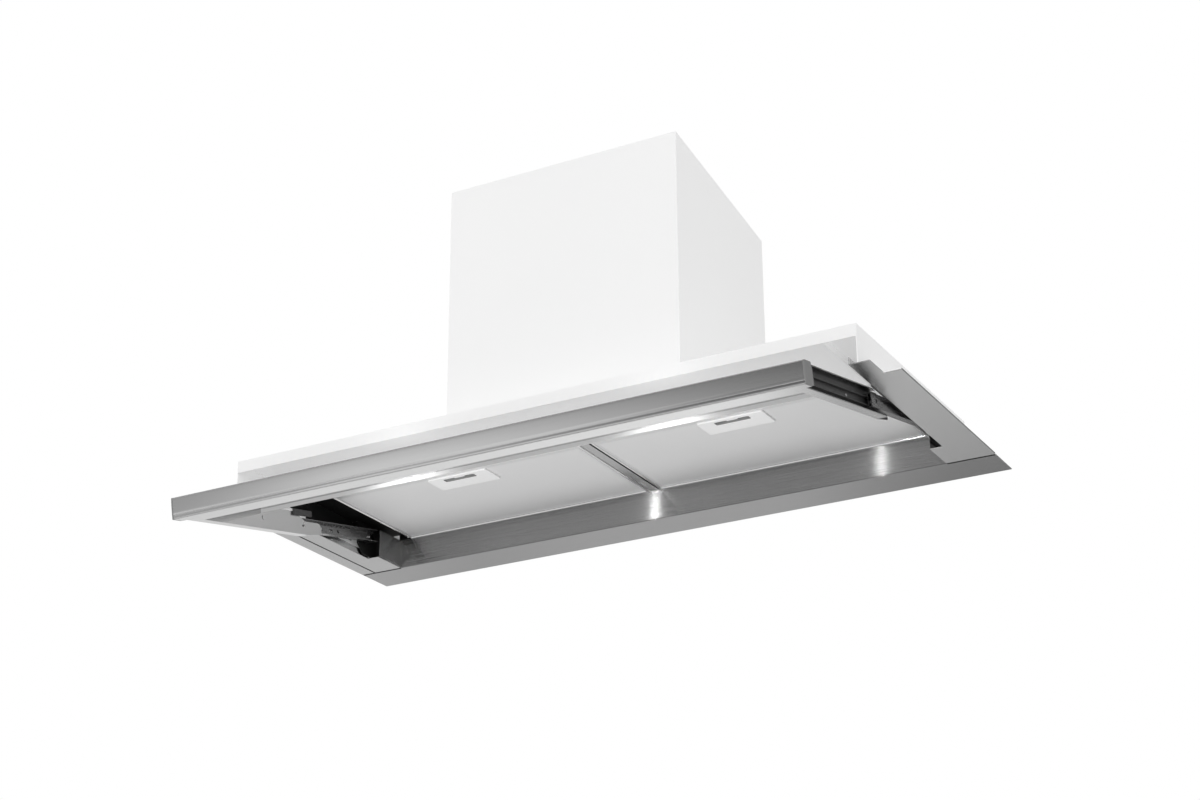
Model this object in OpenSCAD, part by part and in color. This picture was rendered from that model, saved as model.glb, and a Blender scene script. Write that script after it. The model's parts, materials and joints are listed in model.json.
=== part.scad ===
// Built-in canopy range hood with a pull-out visor that slides and tilts.
// Millimetres. X to the right seen from the front, -Y to the front, +Z up.
// The origin is the centre of the four fixing holes, in the plane that seats on the cabinet.

/* [Overall] */
// Width of the underside flange
hood_w = 900; // [700:10:1200]
// Depth of the side flanges from the rear edge
side_d = 345; // [335:5:360]
// Depth of the plenum front from the rear edge
front_d = 381; // [375:1:400]
// Depth of the rear trim rail
rail_d = 57; // [50:1:62]

/* [Sheet metal] */
// Thickness of the casing sheet
casing_t = 1.2; // [0.8:0.1:1.5]
// Thickness of the stainless trim
trim_t = 1.2; // [0.8:0.1:1.5]
// Thickness of the visor sheet
visor_t = 1.2; // [0.8:0.1:1.4]
// Visible joint between neighbouring trim pieces
joint_gap = 1; // [0.5:0.1:1.5]
// Air left between still pieces that don't touch
seat_gap = 0.3; // [0.2:0.05:0.4]

/* [Fixing holes] */
// Radius of a fixing hole in the side flange
fix_hole_r = 2.25; // [1.8:0.05:2.6]
// Distance of the fixing holes from the flange edge
fix_inset = 28; // [25:0.5:31]
// Pitch of the fixing holes from front to rear
fix_pitch = 240; // [200:5:250]
// Distance of the rear fixing holes from the rear edge
fix_rear_d = 80; // [75:1:85]

/* [Plenum] */
// Distance from the flange edge to the casing side
casing_inset = 35.5; // [34:0.5:37]
// Height of the casing at its outer edges
casing_edge_h = 49; // [49:0.5:55]
// Height of the casing roof
casing_top_h = 78; // [72:1:90]
// Run of the sloped roof edges
roof_run = 78; // [60:2:90]
// Height of the lower edge of the front apron
apron_h = 34; // [33.5:0.5:36]

/* [Trim] */
// Width of an outer side strip
strip_w = 20; // [16:0.5:20.5]
// Width of an inner side plate beside the arm slot
plate_w = 24.5; // [22:0.5:25.5]
// Depth of the inner side plates from the rear edge
plate_d = 385; // [380:1:388]
// Depth of the closed rear end of the arm slots
slot_rear_d = 110; // [105:1:112]
// Distance from the flange edge to the recess side wall
wall_inset = 61; // [60:0.5:62]

/* [Recess and filters] */
// Depth of the recess up to the filters
recess_h = 38; // [37:0.5:38.5]
// Thickness of a grease filter
filter_t = 7; // [6:0.5:7.2]
// Distance from the flange edge to a filter
filter_inset = 79; // [78:1:84]
// Depth of the filter front from the rear edge
filter_front_d = 240; // [225:1:242]
// Width of the bar between the filters
divider_w = 15; // [12:0.5:20]
// Width of the filter frame border
border_w = 7; // [5:0.5:10]
// Width of a filter handle
handle_w = 85; // [60:1:100]
// Depth of a filter handle
handle_d = 37; // [30:1:42]
// Travel of a filter latch
latch_travel = 4.5; // [4:0.1:4.6]

/* [Visor] */
// Distance from the flange edge to the end of the fascia
fascia_inset = 42; // [41.5:0.25:42.5]
// Height of the fascia
fascia_h = 26; // [24:0.5:26.5]
// Depth of the fascia bar
fascia_d = 17; // [14:0.5:18]
// Distance of the fascia front from the pivot when open
reach = 400.5; // [396:0.5:404]
// Depth of the lip behind the fascia's lower edge
lip_d = 35; // [30:1:38]
// Depth of the top sheet of the visor
sheet_d = 148; // [140:1:150]
// Slope of the open visor
open_tilt = 11.8; // [10:0.2:12.4]
// Travel of the slides
slide_travel = 100; // [80:5:100]
// Distance of the pivots from the rear edge
pivot_d = 115; // [114:0.5:117]
// Height of the pivots above the underside
pivot_h = 28; // [27:0.5:28.5]
// Radius of a pivot pin
pin_r = 2.5; // [2:0.1:3]

/* [Arms and slides] */
// Height of an arm
arm_h = 28; // [27:0.5:28.5]
// Width of an arm's flanges
arm_flange = 12; // [10:0.5:12.5]
// Length of a fixed rail from the pivot
rail_len = 201; // [190:1:205]
// Height of a fixed rail
rail_h = 16; // [15:0.5:17]
// Width of a fixed rail
rail_w = 9; // [8.5:0.1:9.2]
// Thickness of the rail steel
rail_t = 1.2; // [1:0.1:1.3]

/* [Motor housing and outlet] */
// Half width of the motor housing
housing_half = 161; // [150:1:170]
// Front of the motor housing from the rear edge
housing_front_d = 300; // [296:1:302]
// Rear of the motor housing from the rear edge
housing_rear_d = 61; // [60:1:64]
// Height of the motor housing at its front
housing_front_h = 395; // [385:1:400]
// Height of the motor housing at its rear
housing_rear_h = 350; // [348:1:360]
// Outer radius of the duct collar
collar_r = 75; // [60:0.5:76]
// Height of the duct collar
collar_h = 38; // [36:1:60]
// Depth of the collar's foot from the rear edge
collar_d = 150; // [149:1:152]

/* [Blower] */
// Depth of the impeller axis from the rear edge
fan_d = 201; // [200:1:202]
// Height of the impeller axis
fan_h = 200; // [195:1:205]
// Outer radius of the impeller
fan_r = 72; // [60:1:74]
// Radial depth of a blade
blade_d = 13; // [10:1:15]
// Half width of the impeller
fan_half = 50; // [40:1:51]
// Number of blades round the impeller
blade_n = 34; // [20:1:44]
// Least inner radius of the scroll
scroll_r0 = 81; // [80:1:84]
// Growth of the scroll radius over three quarters of a turn
scroll_growth = 27; // [20:1:29]

/* [Hidden] */
$fn = 64;

// Overrun of every cut past the face that it opens
cut = 1;
// Radial clearance of a turning pin
run_gap = 0.05;
half_w = hood_w / 2;
flange_t = casing_t;
// Underside of all the trim, below the seating plane
face_z = -(flange_t + trim_t);
// Rear edge of the flange
rear_y = fix_rear_d + fix_pitch / 2;
casing_half = half_w - casing_inset;
casing_rear_d = rail_d - joint_gap;
fix_x = half_w - fix_inset;

// Inner edges of the trim, from the middle
strip_x = half_w - strip_w + joint_gap / 2;
plate_x = strip_x - joint_gap - plate_w;
wall_x = half_w - wall_inset;
plate_lip_h = 9;
rail_lip_h = 12;

// Levels inside the recess
filter_top_h = recess_h + filter_t;
deck_gap = 1.7;
deck_t = 1;
deck_h = filter_top_h + deck_gap;
filter_x0 = divider_w / 2;
filter_x1 = half_w - filter_inset;
filter_mid = (filter_x0 + filter_x1) / 2;
liner_t = 1;
liner_d = casing_rear_d + casing_t + liner_t;
filter_back_gap = 2;
filter_rear_d = liner_d + filter_back_gap;
// Air at each end of a filter
filter_end_gap = 0.8;
// Stub pins that the filters turn on, half their thickness from the rear edge
filter_pin_r = 1.5;
filter_pin_len = 3.2;
filter_pin_d = filter_rear_d + filter_t / 2;
filter_pin_h = recess_h + filter_t / 2;

// Motor housing, whose lid falls to the rear
housing_flange = 12;
lid_slope = atan((housing_front_h - housing_rear_h) / (housing_front_d - housing_rear_d));
function lid_top(d) = housing_rear_h + (d - housing_rear_d) * tan(lid_slope);
function lid_under(d) = lid_top(d) - lid_t / cos(lid_slope);
lid_t = casing_t;
vent_inset = 14;
collar_wall = 2.5;
neck_in = 1;
neck_r = collar_r - neck_in;
neck_h = 12;
collar_flange = 14;
collar_flange_t = 2;
flap_t = 1.2;
flap_axis = 4.5;
flap_barrel_r = 3;
flap_pin_r = 1.5;
flap_level = 8;
flap_gap = 1;
ledge_w = 6;
ledge_t = 2;

// Visor section, measured forward and up from the pivot
fascia_w = hood_w - 2 * fascia_inset;
sheet_top = fascia_h / 2 - visor_t;
arm_low = -fascia_h / 2;
arm_top = arm_low + arm_h;
arm_inset = 1.4;
arm_x = wall_x - arm_inset;
rail_depth = 11.4;
rail_x1 = arm_x + visor_t + rail_depth;
rail_x0 = rail_x1 - rail_w;
rail_mid = 1;
bar_rear = reach - fascia_d;

function at(d) = rear_y - d;
function up(h) = face_z + h;

// Box between two opposite corners
module block(lo, hi) {
    translate([min(lo[0], hi[0]), min(lo[1], hi[1]), min(lo[2], hi[2])])
        cube([abs(hi[0] - lo[0]), abs(hi[1] - lo[1]), abs(hi[2] - lo[2])]);
}

// Draws its children on the right, or mirrored on the left
module on_side(side) {
    if (side < 0) mirror([1, 0, 0]) children();
    else children();
}

// Extrudes an outline in (Y, Z) along X, from x0 to x1
module along_x(x0, x1) {
    translate([x0, 0, 0]) rotate([90, 0, 90])
        linear_extrude(height = x1 - x0) children();
}

// Extrudes an outline in (X, Z) along Y, from y0 to y1
module along_y(y0, y1) {
    translate([0, y1, 0]) rotate([90, 0, 0])
        linear_extrude(height = y1 - y0) children();
}

// Cylinder along X
module rod_x(x0, x1, r) {
    translate([x0, 0, 0]) rotate([0, 90, 0]) cylinder(h = x1 - x0, r = r);
}

// Rectangle with round corners
module round_rect(x0, y0, x1, y1, r) {
    translate([x0 + r, y0]) square([x1 - x0 - 2 * r, y1 - y0]);
    translate([x0, y0 + r]) square([x1 - x0, y1 - y0 - 2 * r]);
    for (x = [x0 + r, x1 - r], y = [y0 + r, y1 - r])
        translate([x, y]) circle(r = r);
}

// Frame of the open visor: origin on the pivots, -Y towards the fascia
module visor_frame() {
    translate([0, at(pivot_d), up(pivot_h)]) rotate([open_tilt, 0, 0]) children();
}

// Frame of the outlet: origin at the collar's foot, Z along its axis
module lid_frame() {
    translate([0, at(collar_d), up(lid_top(collar_d))]) rotate([-lid_slope, 0, 0]) children();
}

// Outline in (Y, Z) between the base z0 and the lid's underside plus rise, drawn in by t
module housing_side(t, z0, rise) {
    d0 = housing_front_d - t;
    d1 = housing_rear_d + t;
    polygon([[at(d0), z0], [at(d0), up(lid_under(d0)) + rise],
             [at(d1), up(lid_under(d1)) + rise], [at(d1), z0]]);
}

// Frame of the impeller: X is its axis, -Y to the front
module fan_frame() {
    translate([0, at(fan_d), up(fan_h)]) children();
}

// Solid with sloped roof edges, drawn in by t all round and standing on base
module casing_solid(t, base) {
    intersection() {
        along_x(-casing_half + t, casing_half - t)
            polygon([[at(front_d) + t, base],
                     [at(front_d) + t, up(casing_edge_h) - t],
                     [at(front_d) + roof_run, up(casing_top_h) - t],
                     [at(casing_rear_d) - t, up(casing_top_h) - t],
                     [at(casing_rear_d) - t, base]]);
        along_y(at(front_d) + t, at(casing_rear_d) - t)
            polygon([[-casing_half + t, base],
                     [-casing_half + t, up(casing_edge_h) - t],
                     [-casing_half + roof_run, up(casing_top_h) - t],
                     [casing_half - roof_run, up(casing_top_h) - t],
                     [casing_half - t, up(casing_edge_h) - t],
                     [casing_half - t, base]]);
    }
}

// Folded steel plenum, open below
module plenum_casing() {
    color("white") difference() {
        casing_solid(0, 0);
        casing_solid(casing_t, -cut);
        // Front mouth under the apron, for the visor
        block([-casing_half + casing_t, at(front_d) - cut, -cut],
              [casing_half - casing_t, at(front_d) + casing_t + cut, up(apron_h)]);
        // Opening into the motor housing
        block([-housing_half + vent_inset, at(housing_front_d - vent_inset),
               up(casing_top_h) - casing_t - cut],
              [housing_half - vent_inset, at(housing_rear_d + vent_inset),
               up(casing_top_h) + cut]);
        case_screw_places() translate([0, 0, -screw_len / 2])
            cylinder(h = screw_len, r = screw_r);
    }
}

// Side flanges welded under the casing's side walls, with the fixing holes
module side_flanges() {
    color("white") difference() {
        for (side = [-1, 1]) on_side(side)
            block([casing_half - casing_t, at(side_d), -flange_t], [half_w - trim_t, rear_y, 0]);
        for (x = [-fix_x, fix_x], y = [-fix_pitch / 2, fix_pitch / 2])
            translate([x, y, -flange_t - cut])
                cylinder(h = flange_t + 2 * cut, r = fix_hole_r);
    }
}

// Rear trim rail across the whole width, with two folded lips between the flanges
module rear_rail() {
    lip_x = casing_half - casing_t - seat_gap;
    color("lightgray") {
        block([-half_w, at(casing_rear_d), face_z], [half_w, rear_y, face_z + trim_t]);
        block([-lip_x, at(casing_rear_d), face_z + trim_t],
              [lip_x, at(casing_rear_d) + trim_t, face_z + rail_lip_h]);
        block([-lip_x, rear_y - trim_t, face_z + trim_t], [lip_x, rear_y, face_z + rail_lip_h]);
    }
}

// Outer strip, wrapped round the flange edge
module outer_strip(side) {
    color("lightgray") on_side(side) {
        block([strip_x, at(side_d), face_z], [half_w, at(rail_d), face_z + trim_t]);
        block([half_w - trim_t, at(side_d), face_z + trim_t], [half_w, at(rail_d), 0]);
    }
}

// Inner side plate with its upturned lip along the arm slot
module inner_plate(side) {
    outer_x = strip_x - joint_gap;
    color("silver") on_side(side) {
        difference() {
            block([wall_x, at(plate_d), face_z], [outer_x, at(rail_d), face_z + trim_t]);
            block([wall_x - cut, at(plate_d) - cut, face_z - cut],
                  [plate_x, at(slot_rear_d), face_z + trim_t + cut]);
        }
        block([plate_x, at(plate_d), face_z + trim_t],
              [plate_x + trim_t, at(slot_rear_d), face_z + plate_lip_h]);
    }
}

// Stainless rear wall of the recess with its short side returns
module recess_liner() {
    y0 = at(liner_d - liner_t);
    front_y = at(slot_rear_d - 2 * joint_gap);
    z0 = face_z + trim_t + seat_gap;
    color("dimgray") {
        block([-wall_x, y0 - liner_t, face_z + seat_gap],
              [wall_x, y0, up(recess_h)]);
        for (side = [-1, 1]) on_side(side)
            block([wall_x - liner_t, front_y, z0],
                  [wall_x, y0 - liner_t, up(recess_h)]);
    }
}

// Deck over the filters with their two openings
module filter_deck() {
    rim = border_w;
    x1 = casing_half - casing_t - seat_gap;
    y0 = at(front_d) + casing_t + seat_gap;
    y1 = at(casing_rear_d + casing_t) - seat_gap;
    lug_x = filter_x1 + filter_end_gap;
    lug_w = 2;
    lug_r = 3.2;
    color("gainsboro") difference() {
        union() {
            block([-x1, y0, up(deck_h)], [x1, y1, up(deck_h) + deck_t]);
            // Lugs for the outer pins of the filters
            for (side = [-1, 1]) on_side(side) translate([0, at(filter_pin_d), 0]) {
                block([lug_x, -lug_r, up(filter_pin_h)], [lug_x + lug_w, lug_r, up(deck_h)]);
                translate([0, 0, up(filter_pin_h)]) rod_x(lug_x, lug_x + lug_w, lug_r);
            }
        }
        for (side = [-1, 1]) on_side(side) {
            block([filter_x0 + rim, at(filter_front_d - rim), up(deck_h) - cut],
                  [filter_x1 - rim, at(filter_rear_d + rim), up(deck_h) + deck_t + cut]);
            translate([0, at(filter_pin_d), up(filter_pin_h)])
                rod_x(lug_x - cut, lug_x + lug_w + cut, filter_pin_r + run_gap);
        }
    }
}

// Light pan that closes the roof in front of the filters
keeper_w = 20;
keeper_gap = 0.8;
module front_cover() {
    y0 = at(front_d) + casing_t + seat_gap;
    y1 = at(filter_front_d) - joint_gap;
    x1 = filter_x1;
    color("gainsboro") difference() {
        block([-x1, y0, up(recess_h)], [x1, y1, up(deck_h)]);
        block([-x1 + casing_t, y0 + casing_t, up(recess_h) + casing_t],
              [x1 - casing_t, y1 - casing_t, up(deck_h) + cut]);
        // Keepers for the filter latches
        for (side = [-1, 1]) on_side(side)
            block([filter_mid - keeper_w / 2, y1 - casing_t - latch_past - cut,
                   up(latch_h0) - keeper_gap],
                  [filter_mid + keeper_w / 2, y1 + cut, up(latch_h0) + latch_t + keeper_gap]);
    }
}

// Bar between the two filters
module centre_divider() {
    lip = 3;
    x1 = divider_w / 2 - filter_end_gap;
    color("silver") difference() {
        block([-x1, at(filter_front_d), up(recess_h)], [x1, at(filter_rear_d), up(deck_h)]);
        block([-x1 + lip, at(filter_front_d) + lip, up(recess_h) + casing_t],
              [x1 - lip, at(filter_rear_d) - lip, up(deck_h) + cut]);
        translate([0, at(filter_pin_d), up(filter_pin_h)])
            rod_x(-x1 - cut, x1 + cut, filter_pin_r + run_gap);
    }
}

// Black shrouds over the slides, from the filters to the side walls, with a skirt on the wall
shroud_h = 44.5;
module slide_shrouds() {
    gap = 1.5;
    skirt_t = 1.5;
    skirt_h = 18;
    skirt_gap = 0.5;
    x0 = filter_x1 + gap;
    x1 = casing_half - casing_t - seat_gap;
    color([0.05, 0.05, 0.05]) for (side = [-1, 1]) on_side(side) {
        block([x0, at(filter_front_d), up(shroud_h)],
              [x1, at(slot_rear_d) - pin_plate_t, up(deck_h)]);
        block([x1 - skirt_t, at(filter_front_d), up(skirt_h)],
              [x1, at(pivot_d + bracket_front) - skirt_gap, up(shroud_h)]);
    }
}

// Tall sheet housing round the blower, with a foot flange
module motor_housing() {
    z0 = up(casing_top_h);
    y0 = at(housing_front_d);
    y1 = at(housing_rear_d);
    color("white") difference() {
        union() {
            along_x(-housing_half, housing_half) housing_side(0, z0, 0);
            block([-housing_half - housing_flange, y0, z0],
                  [housing_half + housing_flange, y1, z0 + casing_t]);
        }
        along_x(-housing_half + casing_t, housing_half - casing_t)
            housing_side(casing_t, z0 + casing_t, cut);
        block([-housing_half + vent_inset, y0 + vent_inset, z0 - cut],
              [housing_half - vent_inset, y1 - vent_inset, z0 + 2 * casing_t]);
        case_screw_places() translate([0, 0, -screw_len / 2])
            cylinder(h = screw_len, r = screw_r);
    }
}

// Lid of the motor housing with its skirt and the outlet hole
module housing_lid() {
    in = casing_t + seat_gap;
    skirt = 10;
    thick = lid_t / cos(lid_slope);
    color("white") difference() {
        union() {
            along_x(-housing_half, housing_half) lid_strip(0, 0, thick);
            difference() {
                along_x(-housing_half + in, housing_half - in) lid_strip(in, -skirt, 0);
                along_x(-housing_half + in + casing_t, housing_half - in - casing_t)
                    lid_strip(in + casing_t, -skirt - cut, cut);
            }
        }
        // Outlet, as wide as the scroll's mouth and the collar let it be
        intersection() {
            lid_frame() translate([0, 0, -2 * lid_t - cut])
                cylinder(h = 3 * lid_t + cut, r = collar_r - ledge_w);
            block([-scroll_half, at(fan_d + mouth_back) + scroll_t, up(fan_h)],
                  [scroll_half, at(fan_d - mouth_front) - scroll_t, 2 * up(housing_front_h)]);
        }
        lid_frame() collar_screw_places() translate([0, 0, -2 * lid_t])
            cylinder(h = 3 * lid_t, r = screw_r);
    }
}

// Strip in (Y, Z) along the lid's underside, from z0 to z1 above it, drawn in by t
module lid_strip(t, z0, z1) {
    d0 = housing_front_d - t;
    d1 = housing_rear_d + t;
    polygon([[at(d0), up(lid_under(d0)) + z0], [at(d0), up(lid_under(d0)) + z1],
             [at(d1), up(lid_under(d1)) + z1], [at(d1), up(lid_under(d1)) + z0]]);
}

// Duct spigot with a foot flange, a neck and the ledge for the flaps
module outlet_collar() {
    inner = collar_r - collar_wall;
    color("gray") lid_frame() difference() {
        rotate_extrude($fn = 96) {
            translate([inner, 0]) square([neck_r - inner, neck_h]);
            translate([inner, neck_h]) square([collar_wall, collar_h - neck_h]);
            translate([inner, 0]) square([collar_flange, collar_flange_t]);
            translate([collar_r - ledge_w, flap_level - flap_t / 2 - ledge_t])
                square([ledge_w - collar_wall / 2, ledge_t]);
        }
        collar_screw_places() translate([0, 0, -cut])
            cylinder(h = collar_flange_t + 2 * cut, r = screw_r);
        for (y = [-flap_axis, flap_axis])
            translate([0, y, flap_level])
                rod_x(-collar_r - cut, collar_r + cut, flap_pin_r + run_gap / 2);
    }
}

// Two pins across the collar that carry the flaps
module damper_pins() {
    wall_mid = (neck_r + collar_r - collar_wall) / 2;
    half = sqrt(pow(wall_mid, 2) - pow(flap_axis, 2));
    color("silver") lid_frame()
        for (y = [-flap_axis, flap_axis]) translate([0, y, flap_level])
            rod_x(-half, half, flap_pin_r);
}

// Half-round damper flap on its barrel, side 1 to the rear and -1 to the front
module damper_flap(side) {
    barrel_share = 0.9;
    inner = collar_r - collar_wall - flap_gap;
    barrel_half = inner * barrel_share;
    color("dimgray") lid_frame() translate([0, 0, flap_level])
        difference() {
            union() {
                intersection() {
                    translate([0, 0, -flap_t / 2]) cylinder(h = flap_t, r = inner);
                    block([-inner, side * flap_axis, -flap_t],
                          [inner, side * (inner + cut), flap_t]);
                }
                translate([0, side * flap_axis, 0])
                    rod_x(-barrel_half, barrel_half, flap_barrel_r);
            }
            translate([0, side * flap_axis, 0])
                rod_x(-inner - cut, inner + cut, flap_pin_r + run_gap);
        }
}

// Scroll casing: walls, mouth behind and before the impeller's axis, and inlets
scroll_t = 1.5;
scroll_gap = 6;
scroll_half = fan_half + scroll_gap;
mouth_back = 6;
mouth_front = scroll_r0 + scroll_growth;
inlet_over = 2;
inlet_r = fan_r - blade_d + inlet_over;
ring_fit = 4;
ring_bell = 9;
scroll_steps = 24;

// Scroll outline round the impeller, drawn in by t, with its mouth up to the lid
function scroll_r(turn, t) = scroll_r0 + scroll_growth * turn - t;
function mouth_z(y) = lid_under(fan_d - y) - fan_h;
function scroll_points(t, rise) = concat(
    [[t, scroll_r(0, t)]],
    [for (i = [1 : scroll_steps])
        let (turn = i / scroll_steps, a = 90 + 270 * turn, r = scroll_r(turn, t))
        [r * cos(a), r * sin(a)]],
    [[scroll_r(1, t), mouth_z(scroll_r(1, t)) + rise],
     [-mouth_back + t, mouth_z(-mouth_back + t) + rise]]);

// Scroll casing with two round inlets and a rectangular mouth under the lid
module blower_scroll() {
    rim = 14;
    half_d = (mouth_front + mouth_back) / 2;
    color("lightslategray") difference() {
        union() {
            fan_frame() difference() {
                along_x(-scroll_half - scroll_t, scroll_half + scroll_t)
                    polygon(scroll_points(0, 0));
                along_x(-scroll_half, scroll_half) polygon(scroll_points(scroll_t, cut));
                rod_x(-scroll_half - scroll_t - cut, scroll_half + scroll_t + cut,
                      inlet_r + ring_fit);
            }
            lid_frame() difference() {
                block([-scroll_half - rim, -half_d, -lid_t - scroll_t],
                      [scroll_half + rim, half_d, -lid_t]);
                block([-scroll_half, -half_d + 2 * scroll_t, -lid_t - 2 * scroll_t],
                      [scroll_half, half_d - 2 * scroll_t, cut]);
            }
        }
        lid_frame() collar_screw_places() translate([0, 0, -lid_t - 2 * scroll_t])
            cylinder(h = 3 * scroll_t, r = screw_r);
    }
}

// Bell-mouthed inlet rings at both sides of the scroll
module inlet_rings() {
    lip = 4;
    ring_t = 1.5;
    color("gainsboro") fan_frame() for (side = [-1, 1]) on_side(side)
        translate([scroll_half + scroll_t, 0, 0]) rotate([0, 90, 0])
            rotate_extrude() {
                translate([inlet_r, -lip]) square([ring_t, lip + ring_t]);
                translate([inlet_r, 0]) square([ring_bell + ring_fit, ring_t]);
            }
}

// One forward-curved blade outline at the rim
module blade() {
    bow_share = 0.45;
    steps = 3;
    bow = blade_d * bow_share;
    t = 0.9;
    short = 1;
    deep = blade_d - short;
    function line(s) = [fan_r - blade_d + deep * s, -bow * sin(90 * s) + bow];
    polygon(concat([for (i = [0 : steps]) line(i / steps)],
                   [for (i = [steps : -1 : 0]) line(i / steps) + [0, t]]));
}

// Shaft, motor and the spider that carries it
shaft_r = 4;
motor_r = 38;
motor_x0 = 14;
motor_x1 = 84;
shaft_in = 16;
bracket_gap = 2;
bracket_x = scroll_half + scroll_t + bracket_gap;
bracket_t = 2;

// Double-inlet impeller: centre disc, two end rings and curved blades
module impeller() {
    disc_t = 2;
    ring_t = 3;
    hub_r = 11;
    hub_half = 9;
    color("black") fan_frame() rotate([0, 90, 0]) difference() {
        union() {
            translate([0, 0, -disc_t / 2]) cylinder(h = disc_t, r = fan_r - blade_d / 3);
            translate([0, 0, -hub_half]) cylinder(h = 2 * hub_half, r = hub_r);
            for (z = [-fan_half, fan_half - ring_t]) translate([0, 0, z]) difference() {
                cylinder(h = ring_t, r = fan_r);
                translate([0, 0, -cut])
                    cylinder(h = ring_t + 2 * cut, r = fan_r - blade_d / 2);
            }
            translate([0, 0, -fan_half + ring_t / 2])
                linear_extrude(height = 2 * fan_half - ring_t)
                    for (i = [0 : blade_n - 1]) rotate(360 * i / blade_n) blade();
        }
        translate([0, 0, -hub_half - cut]) cylinder(h = 2 * (hub_half + cut), r = shaft_r);
    }
}

// Shaft pressed in the hub and running in the motor
module motor_shaft() {
    hub_out = 12;
    color("silver") fan_frame() rod_x(-hub_out, motor_x0 + shaft_in, shaft_r);
}

// Capacitor motor with cooling fins, carried at its waist
module motor() {
    fin_n = 5;
    fin_t = 2;
    fin_deep = 3;
    boss_r = 12;
    boss_len = 4;
    neck = (motor_x1 - bracket_x) / (fin_n + 1);
    color("dimgray") fan_frame() difference() {
        union() {
            rod_x(motor_x0 + boss_len, motor_x1, motor_r);
            rod_x(motor_x0, motor_x0 + boss_len, boss_r);
        }
        rod_x(motor_x0 - cut, motor_x0 + shaft_in + cut, shaft_r + run_gap);
        for (i = [1 : fin_n - 1])
            difference() {
                rod_x(bracket_x + bracket_t + neck * i, bracket_x + bracket_t + neck * i + fin_t,
                      motor_r + cut);
                rod_x(bracket_x + bracket_t + neck * i - cut,
                      bracket_x + bracket_t + neck * i + fin_t + cut, motor_r - fin_deep);
            }
    }
}

// Three-armed spider that holds the motor in the inlet
module motor_bracket() {
    arm_w = 16;
    ring_w = 6;
    foot = 6;
    foot_gap = 1;
    arm_r = inlet_r + ring_fit + ring_bell + foot_gap + foot;
    color("silver") fan_frame() {
        difference() {
            union() {
                rod_x(bracket_x, bracket_x + bracket_t, motor_r + ring_w);
                for (a = [90, 210, 330]) rotate([a, 0, 0])
                    block([bracket_x, 0, -arm_w / 2], [bracket_x + bracket_t, arm_r, arm_w / 2]);
            }
            rod_x(bracket_x - cut, bracket_x + bracket_t + cut, motor_r);
        }
        for (a = [90, 210, 330]) rotate([a, 0, 0])
            block([scroll_half + scroll_t, arm_r - foot, -arm_w / 2],
                  [bracket_x, arm_r, arm_w / 2]);
    }
}

// Control box on the plenum roof
box_w = 125;
box_housing_gap = 22;
box_x1 = -(housing_half + housing_flange + box_housing_gap);
box_x0 = box_x1 - box_w;
box_d0 = 95;
box_d1 = 205;
box_h = 38;
box_t = 2;
gland_r = 8;
cord_r = 4.2;
gland_level = 20;
module control_box() {
    z0 = up(casing_top_h);
    color("whitesmoke") difference() {
        block([box_x0, at(box_d1), z0], [box_x1, at(box_d0), z0 + box_h]);
        block([box_x0 + box_t, at(box_d1) + box_t, z0 + box_t],
              [box_x1 - box_t, at(box_d0) - box_t, z0 + box_h + cut]);
        translate([box_x0, at((box_d0 + box_d1) / 2), z0 + gland_level])
            rod_x(-cut, box_t + cut, gland_r);
    }
}

// Capacitor and terminal block in the control box
module control_electrics() {
    capacitor();
    terminal_block();
}

// Run capacitor of the motor, lying along the front wall
module capacitor() {
    len_share = 0.5;
    lead_share = 0.33;
    r = 13;
    stud = 6;
    stud_r = 1.3;
    color("gainsboro")
        translate([box_x0 + lead_share * box_w, at(box_d1) + box_t + r + box_t,
                   up(casing_top_h) + box_t + r]) {
            rod_x(0, len_share * box_w, r);
            for (y = [-r / 2, r / 2]) translate([0, y, 0]) rod_x(-stud, 0, stud_r);
        }
}

// Terminal block for the supply
module terminal_block() {
    pole_share = 0.088;
    pole = pole_share * box_w;
    poles = 5;
    deep = 18;
    high = 15;
    well_r = 2.6;
    x0 = box_x0 + 3 * pole;
    y0 = at(box_d0) - 3 * box_t - deep;
    z0 = up(casing_top_h) + box_t;
    color("whitesmoke") difference() {
        block([x0, y0, z0], [x0 + pole * poles, y0 + deep, z0 + high]);
        for (i = [0 : poles - 1], y = [deep / 4, 3 * deep / 4])
            translate([x0 + pole * (i + 0.5), y0 + y, z0 + high / 2])
                cylinder(h = high, r = well_r);
        for (i = [1 : poles - 1])
            block([x0 + pole * i - box_t / 4, y0 - cut, z0 + high / 2],
                  [x0 + pole * i + box_t / 4, y0 + deep + cut, z0 + high + cut]);
    }
}

// Lid that closes the control box
module control_box_lid() {
    z0 = up(casing_top_h) + box_h;
    rib = 1.5;
    rib_n = 5;
    color("whitesmoke") {
        block([box_x0, at(box_d1), z0], [box_x1, at(box_d0), z0 + box_t]);
        for (i = [1 : rib_n]) translate([box_w * i / (rib_n + 1), 0, 0])
            block([box_x0 - rib, at(box_d1) + 4 * box_t, z0 + box_t],
                  [box_x0 + rib, at(box_d0) - 4 * box_t, z0 + box_t + rib]);
    }
}

// Gland for the supply cable
module cable_gland() {
    nut_r = 12;
    nut_t = 5;
    dome_t = 7;
    color("black") translate([box_x0, at((box_d0 + box_d1) / 2), up(casing_top_h) + gland_level])
        difference() {
            union() {
                rod_x(-nut_t, 0, nut_r, $fn = 6);
                rod_x(-nut_t - dome_t, -nut_t, gland_r + run_gap);
                rod_x(0, 2 * box_t, gland_r);
            }
            rod_x(-nut_t - dome_t - cut, 2 * box_t + cut, cord_r);
        }
}

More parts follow.
